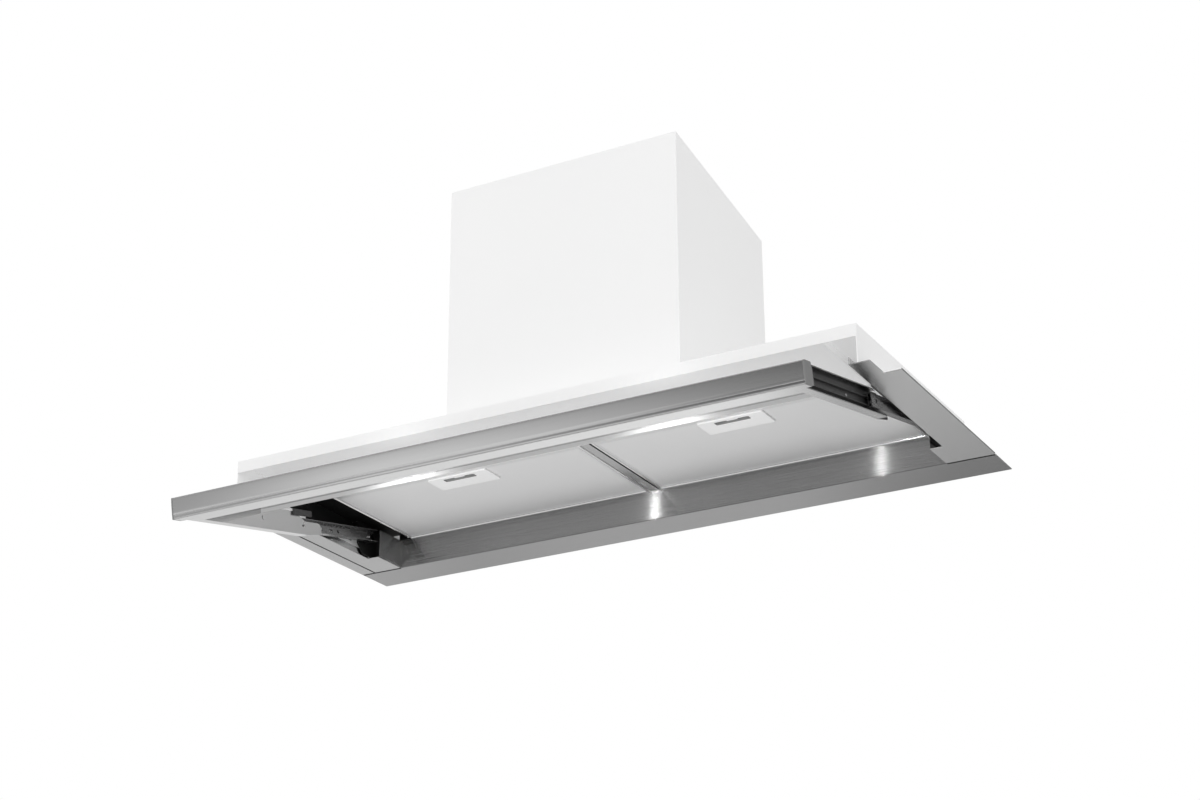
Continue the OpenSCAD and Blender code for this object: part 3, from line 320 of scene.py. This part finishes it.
# The finish of each material slot of the record
SLOT_FINISHES = (
    # casing_paint and inner_paint glow a little: painted light that brightens the white casing and its
    # shaded ceiling
    ("casing_paint", painted, dict(tone=0.86, emit=0.15)),
    ("inner_paint", painted, dict(tone=0.80, emit=0.25)),
    ("brushed_trim", brushed, dict(tone=0.50, rough=(0.12, 0.15), aniso=0.5)),
    ("dark_brushed", brushed, dict(tone=0.30, rough=(0.15, 0.16), aniso=1.0, tilt=1.5)),
    ("fascia_steel", brushed, dict(tone=0.62)),
    ("end_cap_plastic", plastic, dict(tone=0.22)),
    ("black_plastic", plastic, dict(tone=0.006, specular=0.15)),
    ("rail_zinc", satin, dict(tone=0.24, rough=(0.24, 0.3), contrast=0.01, depth=0.000003)),
    ("dark_slide", plastic, dict(tone=0.05, rough=(0.35, 0.45), specular=0.4)),
    ("bright_steel", satin, dict(tone=0.62, rough=(0.16, 0.22), depth=0.000003)),
    ("galvanised", zinc, dict(tone=0.55)),
    ("collar_plastic", plastic, dict(tone=0.16)),
    ("motor_alloy", zinc, dict(tone=0.50, rough=(0.4, 0.6))),
    ("filter_aluminium", satin, dict(tone=0.86, metallic=0.7)),
    ("filter_mesh", expanded, dict(tone=0.93)),
    # handle_plastic glows a little: painted light that brightens the handles
    ("handle_plastic", plastic, dict(tone=0.94, emit=0.09)),
    ("lamp_rim", satin, dict(tone=0.70, rough=(0.15, 0.25))),
    ("lens_plastic", glow, dict(tone=0.92, emit=5.0)),
)
slot_materials = {name: finish(name, **values) for name, finish, values in SLOT_FINISHES}
side_trim = brushed("brushed_trim_sides", tone=0.64, rough=(0.23, 0.26), along=LINES_Y,
                    aniso=0.85, spread_dir=ACROSS_Y_LINES)
# The hem's finish glows: painted light for the lamps' light on the hem
hem_painted_glow = painted("hem_painted_glow", tone=0.30, emit=1.0)
bead_aluminium = satin("bead_aluminium", tone=0.9, rough=(0.14, 0.18), depth=0.000002)
bumper_rubber = plastic("bumper_rubber", tone=0.05, specular=0.3)
slot_shade = plastic("slot_shade", tone=0.36)
for name, row in rows.items():
    mesh = nodes[name].data
    mesh.materials.clear()
    mesh.materials.append(slot_materials[row["material_slot"]])


# Pieces made from a node's faces, with folded or moulded edges

WELD = 0.000002
FLAT = math.radians(0.6)
SHARP = math.radians(35.0)


def welded(name):
    """The node's faces as one closed bmesh, flat faces joined."""
    bm = bmesh.new()
    bm.from_mesh(nodes[name].data)
    bmesh.ops.remove_doubles(bm, verts=bm.verts, dist=WELD)
    bmesh.ops.dissolve_limit(bm, angle_limit=FLAT, verts=bm.verts, edges=bm.edges)
    return bm


def piece(name, bm, node, sharp=SHARP):
    """A new object in the node's place, on its body and in its finish."""
    me = bpy.data.meshes.new(name)
    bm.to_mesh(me)
    bm.free()
    for p in me.polygons:
        p.use_smooth = True
    me.set_sharp_from_angle(angle=sharp)
    ob = bpy.data.objects.new(name, me)
    bpy.context.scene.collection.objects.link(ob)
    slot = rows[node]["material_slot"]
    me.materials.append(slot_materials[slot])
    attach(ob, body_of[node])
    return ob


def soften(name, width, segments=2, bm=None):
    """The node's piece with eased edges, in place of the plain solid."""
    ob = piece(name + "_edged", bm or welded(name), name)
    mod = ob.modifiers.new("edges", "BEVEL")
    mod.width = width
    mod.segments = segments
    mod.limit_method = "ANGLE"
    mod.angle_limit = SHARP
    mod.harden_normals = True
    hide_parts(name)
    return ob


# Width of each node's eased edges; wide ones get one more segment
SOFT = {
    "rear_rail": 0.0003, "left_outer_strip": 0.0003, "right_outer_strip": 0.0003,
    "left_inner_plate": 0.0003, "right_inner_plate": 0.0003, "recess_liner": 0.0002,
    "centre_divider": 0.0008, "front_cover": 0.0006, "slide_shrouds": 0.0003,
    "plenum_casing": 0.0004, "side_flanges": 0.0002, "motor_housing": 0.0004,
    "housing_lid": 0.0004, "control_box": 0.0005, "control_box_lid": 0.0005,
    "outlet_collar": 0.0005, "left_rail_bracket": 0.0004, "right_rail_bracket": 0.0004,
    "left_rail": 0.00025, "right_rail": 0.00025, "left_arm": 0.00025, "right_arm": 0.00025,
    "left_slide": 0.0002, "right_slide": 0.0002, "arm_bumpers": 0.0008, "visor_sheet": 0.0002,
    "lamp_bezels": 0.0004, "keypad": 0.0004, "left_filter_frame": 0.0011,
    "right_filter_frame": 0.0011, "left_filter_handle": 0.0006, "right_filter_handle": 0.0006,
}
WIDE = 0.0005
edged = {}
for node_name, edge in SOFT.items():
    edged[node_name] = soften(node_name, edge, 3 if edge > WIDE else 2)
for node_name in ("left_outer_strip", "right_outer_strip", "left_inner_plate", "right_inner_plate",
                  "centre_divider"):
    edged[node_name].data.materials[0] = side_trim
edged["arm_bumpers"].data.materials[0] = bumper_rubber


# The fascia: its front is a little crowned, and its groove shallower

CROWN = 0.0004
CROWN_CUTS = 5
GROOVE_FILL = 0.0004
FRONT_SKIN = 0.0001
GROOVE_BED = (0.0005, 0.0009)
CUT_WELD = 0.000001
FASCIA_EDGES = {"fascia": 0.00025, "fascia_end_caps": 0.0004}


def crowned(name, front, middle, half):
    """The long edges of the front lie a little behind its middle."""
    bm = welded(name)
    up = on_visor(0, 0, 1) - PIVOT
    for k in range(1, CROWN_CUTS + 1):
        z = middle + half * (2 * k / (CROWN_CUTS + 1) - 1)
        bmesh.ops.bisect_plane(bm, geom=bm.verts[:] + bm.edges[:] + bm.faces[:], dist=CUT_WELD,
                               plane_co=on_visor(0, front, z), plane_no=up)
    back = on_visor(0, 1, 0) - PIVOT
    for v in bm.verts:
        p = from_visor(v.co)
        if p.y < front + FRONT_SKIN:
            v.co += back * CROWN * ((p.z - middle) / half) ** 2
        elif front + GROOVE_BED[0] < p.y < front + GROOVE_BED[1]:
            v.co -= back * GROOVE_FILL
    return bm


def crown_fascia():
    points = [from_visor(v.co) for v in nodes["fascia_end_caps"].data.vertices]
    front = min(p.y for p in points)
    low, high = min(p.z for p in points), max(p.z for p in points)
    for name, width in FASCIA_EDGES.items():
        edged[name] = soften(name, width, bm=crowned(name, front, (low + high) / 2, (high - low) / 2))


# Faces with a finish of their own

FACING = 0.9
HEM_DEPTH = 0.002
WEB_SKIN = 0.0003
HANDLE_RIM = 0.002
HANDLE_SKIN = 0.0003


def refinish(name, material, belongs):
    """The second finish of an edged piece, on the faces that belong to it."""
    me = edged[name].data
    me.materials.append(material)
    for p in me.polygons:
        if belongs(p):
            p.material_index = 1


def paint_hem_glow():
    """The hem at the rear of the visor's sheet glows where it faces the lamps: painted light for the
    lamps' light on it.
    """
    rear = max(from_visor(v.co).y for v in edged["visor_sheet"].data.vertices)
    forward = on_visor(0, -1, 0) - PIVOT
    refinish("visor_sheet", hem_painted_glow, lambda p:
             from_visor(p.center).y > rear - HEM_DEPTH and p.normal.dot(forward) > FACING)


def shaded_channels():
    """The channels of the arms are painted dark where the slides run: painted shade inside the
    channels.
    """
    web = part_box("right_slide")[0][0]
    for name, side in (("left_arm", -1), ("right_arm", 1)):
        refinish(name, slot_materials["dark_slide"], lambda p:
                 p.normal.x * side > FACING and abs(abs(p.center.x) - web) < WEB_SKIN)


def shaded_slots():
    """The finger slots of the handles are painted dark inside: painted shade."""
    for side in ("left", "right"):
        low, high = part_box(side + "_filter_handle")
        refinish(side + "_filter_handle", slot_shade, lambda p:
                 low[0] + HANDLE_RIM < p.center.x < high[0] - HANDLE_RIM
                 and low[1] + HANDLE_RIM < p.center.y < high[1] - HANDLE_RIM
                 and low[2] + HANDLE_SKIN < p.center.z < high[2] - HANDLE_SKIN)


crown_fascia()
paint_hem_glow()
shaded_channels()
shaded_slots()


# Small parts that only the scene has: black sheets and strips of painted shade, a filler and the
# filters' rolled edges

SHEET = 0.0012


def boxes(name, corners, node, width):
    """Thin strips, each from its low to its high corner, with eased edges."""
    bm = bmesh.new()
    for low, high in corners:
        cube = bmesh.ops.create_cube(bm, size=1.0)["verts"]
        for v in cube:
            v.co = Vector([low[i] + (v.co[i] + 0.5) * (high[i] - low[i]) for i in range(3)])
    ob = piece(name, bm, node)
    mod = ob.modifiers.new("edges", "BEVEL")
    mod.width = width
    mod.segments = 2
    return ob


def slide_shade_sheets():
    """Black sheets inside the casing beside and behind each slide: painted shade."""
    shade_sheet_thick, shade_sheet_edge = 0.0008, 0.0002
    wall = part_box("plenum_casing")[1][0] - SHEET
    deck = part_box("slide_shrouds")[1][2]
    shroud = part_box("slide_shrouds")
    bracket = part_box("right_rail_bracket")
    liner_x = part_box("recess_liner")[1][0]
    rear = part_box("recess_liner")[1][1] - SHEET
    mesh_to_shroud = 0.0085
    beside_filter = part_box("right_filter_mesh")[1][0] + mesh_to_shroud
    under_deck = deck - 0.001
    front_reach, front_low = 0.070, 0.020
    behind_bracket, rear_low = 0.0005, 0.001
    return_start, return_low, return_high = 0.031, 0.0075, 0.035
    patch_low, patch_over = 0.0358, 0.002
    corners = [
        ((wall - shade_sheet_thick, shroud[0][1] - front_reach, front_low), (wall, shroud[0][1], under_deck)),
        ((wall - shade_sheet_thick, bracket[1][1] + behind_bracket, rear_low), (wall, rear, under_deck)),
        ((beside_filter, shroud[1][1], deck - shade_sheet_thick), (wall, rear, deck)),
        ((liner_x, bracket[0][1] + return_start, return_low), (liner_x + shade_sheet_thick, rear, return_high)),
        ((beside_filter, rear, patch_low), (liner_x + patch_over, rear + shade_sheet_thick, deck)),
    ]
    mirrored = [((-hi[0], lo[1], lo[2]), (-lo[0], hi[1], hi[2])) for lo, hi in corners]
    boxes("slide_shade_sheets", corners + mirrored, "slide_shrouds", shade_sheet_edge)


def divider_shade_strip():
    """Black strip of painted shade on the divider's right side, for the shadow line there, flush with
    the filters and below their pins.
    """
    wide, proud, past, tall, shade_strip_edge = 0.0017, 0.0004, 0.0003, 0.0016, 0.0002
    low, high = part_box("centre_divider")
    strip = ((high[0] - wide, low[1], low[2] - proud), (high[0] + past, high[1], low[2] + tall))
    ob = boxes("divider_shade_strip", [strip], "centre_divider", shade_strip_edge)
    ob.data.materials[0] = slot_materials["black_plastic"]


BEAD_SHARP = math.radians(60.0)


def bead_path(x0, x1, y0, y1, z, corner, steps):
    """Points and outward directions of a U: up the right side, along the rear, down the left side."""
    path = [(Vector((x1, y0, z)), Vector((1.0, 0.0, 0.0)))]
    for cx, start in ((x1 - corner, 0.0), (x0 + corner, 90.0)):
        for i in range(steps + 1):
            a = math.radians(start + 90.0 * i / steps)
            out = Vector((math.cos(a), math.sin(a), 0.0))
            path.append((Vector((cx + corner * out.x, y1 - corner + corner * out.y, z)), out))
    path.append((Vector((x0, y0, z)), Vector((-1.0, 0.0, 0.0))))
    return path


def rolled_edge(side):
    """Rolled bead under the sides and the rear of a filter's frame."""
    pin, bead_r, seat = 0.0032, 0.0017, 0.0004
    corner, steps, around = 0.003, 5, 12
    low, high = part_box(side + "_filter_frame")
    path = bead_path(low[0] + pin + bead_r, high[0] - pin - bead_r, low[1] + bead_r,
                     high[1] - bead_r, low[2] + seat, corner, steps)
    bm = bmesh.new()
    turns = [2 * math.pi * k / around for k in range(around)]
    rings = []
    for at, out in path:
        rings.append([bm.verts.new(at + out * bead_r * math.cos(b)
                                   + Vector((0, 0, bead_r * math.sin(b)))) for b in turns])
    for one, two in zip(rings, rings[1:]):
        for k in range(around):
            j = (k + 1) % around
            bm.faces.new((one[k], two[k], two[j], one[j]))
    bm.faces.new(rings[0])
    bm.faces.new(rings[-1])
    bmesh.ops.recalc_face_normals(bm, faces=bm.faces)
    ob = piece(side + "_filter_bead", bm, side + "_filter_frame", sharp=BEAD_SHARP)
    ob.data.materials[0] = bead_aluminium


def trim_seams():
    """Painted shade: a black strip in the left trim's joint and black strips behind both plates; the
    right joint is filled.
    """
    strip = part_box("right_outer_strip")
    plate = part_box("right_inner_plate")
    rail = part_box("rear_rail")
    under = rail[0][2]
    top = under + 0.001
    joint, shade_strip_skin, shade_strip_edge = 0.0022, 0.00015, 0.0001
    fill_over, fill_skin, fill_edge = 0.0002, 0.00002, 0.00001
    end_inset, shade_strip_ahead, shade_strip_behind = 0.001, 0.0006, 0.0016
    middle = (strip[0][0] + plate[1][0]) / 2
    left_shade_strip = ((-middle - joint / 2, strip[0][1], under - shade_strip_skin),
            (-middle + joint / 2, strip[1][1], top))
    boxes("left_trim_shade_strip", [left_shade_strip], "slide_shrouds", shade_strip_edge)
    fill = ((plate[1][0] - fill_over, strip[0][1], under - fill_skin),
            (strip[0][0] + fill_over, strip[1][1], top))
    filler = boxes("right_trim_filler", [fill], "right_outer_strip", fill_edge)
    filler.data.materials[0] = side_trim
    outer, inner = strip[1][0] - end_inset, plate[0][0]
    ends = [((x0, strip[1][1] - shade_strip_ahead, under - shade_strip_skin), (x1, rail[0][1] + shade_strip_behind, top))
            for x0, x1 in ((-outer, -inner), (inner, outer))]
    boxes("rear_trim_shade_strips", ends, "slide_shrouds", shade_strip_edge)


slide_shade_sheets()
divider_shade_strip()
trim_seams()
rolled_edge("left")
rolled_edge("right")


# Camera: the photo's viewpoint, heading, pitch and roll, and its focal length in pixels

EYE = Vector((1.252883, -2.253144, -0.970))
HEADING, PITCH, ROLL = -0.508044, 0.39631, -0.005455
FOCAL_PX = 2268.307
PHOTO_PX = 1200.0
SENSOR = 36.0
NEAR, FAR = 0.05, 60.0


def aim_camera():
    data = bpy.data.cameras.new("camera")
    cam = bpy.data.objects.new("camera", data)
    bpy.context.scene.collection.objects.link(cam)
    level = math.cos(PITCH)
    ahead = Vector((math.sin(HEADING) * level, math.cos(HEADING) * level, math.sin(PITCH)))
    right = Vector((math.cos(HEADING), -math.sin(HEADING), 0.0))
    up = right.cross(ahead)
    r = right * math.cos(ROLL) + up * math.sin(ROLL)
    u = up * math.cos(ROLL) - right * math.sin(ROLL)
    cam.matrix_world = Matrix((
        (r.x, u.x, -ahead.x, EYE.x),
        (r.y, u.y, -ahead.y, EYE.y),
        (r.z, u.z, -ahead.z, EYE.z),
        (0, 0, 0, 1)))
    data.sensor_fit = "HORIZONTAL"
    data.sensor_width = SENSOR
    data.lens = SENSOR * FOCAL_PX / PHOTO_PX
    data.clip_start = NEAR
    data.clip_end = FAR
    bpy.context.scene.camera = cam


aim_camera()


# Floor and studio

FLOOR_HALF = 3.3
FLOOR_CELLS = 4
FLOOR_Z = -1.45
FLOOR_TONES = [(0.3, 0.78), (0.7, 0.82)]
FLOOR_ROUGH = 0.8


def make_floor():
    me = bpy.data.meshes.new("floor")
    bm = bmesh.new()
    bmesh.ops.create_grid(bm, x_segments=FLOOR_CELLS, y_segments=FLOOR_CELLS,
                          size=FLOOR_HALF)
    bm.to_mesh(me)
    bm.free()
    ob = bpy.data.objects.new("floor", me)
    ob.location = (0, 0, FLOOR_Z)
    bpy.context.scene.collection.objects.link(ob)
    m, nt, bsdf = new_material("floor_pale")
    slow = noise(nt, object_coords(nt), scale=2.0, detail=2.0)
    nt.links.new(ramp(nt, slow, FLOOR_TONES), bsdf.inputs["Base Color"])
    bsdf.inputs["Roughness"].default_value = FLOOR_ROUGH
    me.materials.append(m)


# Brightness of the studio by azimuth in degrees from -Y towards +X, below, at and above the horizon
LOW = [(-180.0, 0.30), (-165.0, 0.24), (-160.5, 0.27), (-158.4, 0.39), (-156.2, 0.55),
       (-151.0, 0.56), (-147.5, 0.47), (-145.2, 0.59), (-140.0, 0.62), (-90.0, 0.8),
       (-40.0, 0.9), (0.0, 1.0), (60.0, 0.9), (120.0, 0.6), (180.0, 0.30)]
LEVEL = [(-180.0, 0.6), (-165.0, 0.4), (-160.0, 0.45), (-158.6, 0.6), (-157.2, 1.15),
         (-149.0, 1.0), (-140.0, 0.8), (-90.0, 0.8), (-50.0, 0.6), (-38.5, 0.36), (-37.0, 0.40),
         (-35.7, 0.56), (-34.2, 1.08), (-31.9, 1.10), (-29.8, 0.88), (-27.8, 0.75), (-26.2, 0.62),
         (-24.2, 0.40), (-22.1, 0.20), (-18.0, 0.12), (-12.0, 0.3), (0.0, 1.0), (30.0, 1.5),
         (60.0, 1.2), (90.0, 0.8), (140.0, 0.6), (180.0, 0.6)]
RAISED = [(-180.0, 0.25), (-150.0, 0.5), (-90.0, 0.9), (-60.0, 1.0), (-40.0, 0.45),
          (-26.0, 0.25), (-20.0, 0.08), (-13.0, 0.15), (0.0, 1.3), (30.0, 2.2), (60.0, 1.2),
          (90.0, 0.45), (130.0, 0.5), (143.0, 0.3), (152.0, 0.25), (160.0, 0.18), (180.0, 0.25)]
TOP = 0.8
SOFT_LIGHT = 2.2
# Heights of the view direction between which one band gives way to the next
LOW_TO_LEVEL = (-0.24, -0.10)
LEVEL_TO_RAISED = (0.02, 0.25)
RAISED_TO_TOP = (0.55, 0.85)


# The colour sockets of a Mix node, as numbers
MIX_A, MIX_B, MIX_RESULT = 6, 7, 2


def band(nt, where, table):
    """A band's brightness as a grey, by the azimuth's place between -180 and 180 degrees."""
    return ramp(nt, where, [(a / 360 + 0.5, v / SOFT_LIGHT) for a, v in table])


def mix_colour(nt, fac, one, two):
    m = nt.nodes.new("ShaderNodeMix")
    m.data_type = "RGBA"
    nt.links.new(fac, m.inputs["Factor"])
    nt.links.new(one, m.inputs[MIX_A])
    if isinstance(two, tuple):
        m.inputs[MIX_B].default_value = two
    else:
        nt.links.new(two, m.inputs[MIX_B])
    return m.outputs[MIX_RESULT]


def make_world():
    """A soft studio that lights and mirrors, with plain white where the camera looks past the part."""
    w = bpy.data.worlds.new("studio")
    bpy.context.scene.world = w
    w.use_nodes = True
    nt = w.node_tree
    nt.nodes.clear()
    out = nt.nodes.new("ShaderNodeOutputWorld")
    seen = nt.nodes.new("ShaderNodeBackground")
    seen.inputs["Color"].default_value = grey(1.0)
    seen.inputs["Strength"].default_value = 1.0
    soft = nt.nodes.new("ShaderNodeBackground")
    soft.inputs["Strength"].default_value = SOFT_LIGHT
    tc = nt.nodes.new("ShaderNodeTexCoord")
    sep = nt.nodes.new("ShaderNodeSeparateXYZ")
    nt.links.new(tc.outputs["Generated"], sep.inputs[0])
    back = math_node(nt, "MULTIPLY", sep.outputs["Y"], -1.0)
    turn = math_node(nt, "ARCTAN2", sep.outputs["X"], back)
    where = spread(nt, turn, 0.0, 1.0, -math.pi, math.pi)
    colour = band(nt, where, LOW)
    for change, above in ((LOW_TO_LEVEL, band(nt, where, LEVEL)),
                          (LEVEL_TO_RAISED, band(nt, where, RAISED)),
                          (RAISED_TO_TOP, grey(TOP / SOFT_LIGHT))):
        colour = mix_colour(nt, spread(nt, sep.outputs["Z"], 0.0, 1.0, *change), colour, above)
    nt.links.new(colour, soft.inputs["Color"])
    path = nt.nodes.new("ShaderNodeLightPath")
    mix = nt.nodes.new("ShaderNodeMixShader")
    nt.links.new(path.outputs["Is Camera Ray"], mix.inputs["Fac"])
    nt.links.new(soft.outputs[0], mix.inputs[1])
    nt.links.new(seen.outputs[0], mix.inputs[2])
    nt.links.new(mix.outputs[0], out.inputs[0])


make_floor()
make_world()


# Lamps: a bright core inside each lens, and a small light below it that shines on the recess wall

CORE_TOP = 0.0074
CORE_STEPS = ((0.0075, 0.0), (0.0068, 0.0012), (0.0045, 0.0022), (0.002, 0.0027))
CORE_AROUND = 24
CORE_TONE = 0.95
CORE_GLOW = 60.0
LAMP_WATTS = 0.38
LAMP_SOURCE = 0.006
LAMP_DROP = 0.010
LAMP_AIM = math.radians(80)
LAMP_CONE = math.radians(150)
LAMP_BLEND = 0.6


def core_mesh():
    """A small dome in each lens, wide above and narrow below."""
    bm = bmesh.new()
    turns = [2 * math.pi * i / CORE_AROUND for i in range(CORE_AROUND)]
    for x in (-LAMP_X, LAMP_X):
        rings = []
        for r, drop in CORE_STEPS:
            rings.append([bm.verts.new(on_visor(x + r * math.cos(a), -LAMP_AT + r * math.sin(a),
                                                CORE_TOP - drop)) for a in turns])
        for lo, hi in zip(rings, rings[1:]):
            for i in range(CORE_AROUND):
                j = (i + 1) % CORE_AROUND
                bm.faces.new((lo[j], lo[i], hi[i], hi[j]))
        bm.faces.new(rings[-1])
        bm.faces.new(list(reversed(rings[0])))
    bmesh.ops.recalc_face_normals(bm, faces=bm.faces)
    return bm


def lamp_cores():
    ob = piece("lamp_cores", core_mesh(), "lamp_lenses")
    ob.data.materials[0] = glow("lamp_core", CORE_TONE, CORE_GLOW)
    for side, x in (("left", -LAMP_X), ("right", LAMP_X)):
        data = bpy.data.lights.new(side + "_lamp", "SPOT")
        data.energy = LAMP_WATTS
        data.shadow_soft_size = LAMP_SOURCE
        data.spot_size = LAMP_CONE
        data.spot_blend = LAMP_BLEND
        light = bpy.data.objects.new(side + "_lamp", data)
        bpy.context.scene.collection.objects.link(light)
        light.location = on_visor(x, -LAMP_AT, -LAMP_DROP)
        light.rotation_euler = (LAMP_AIM, 0, 0)
        light.parent = ob


lamp_cores()


# View transform

bpy.context.scene.view_settings.view_transform = "Standard"
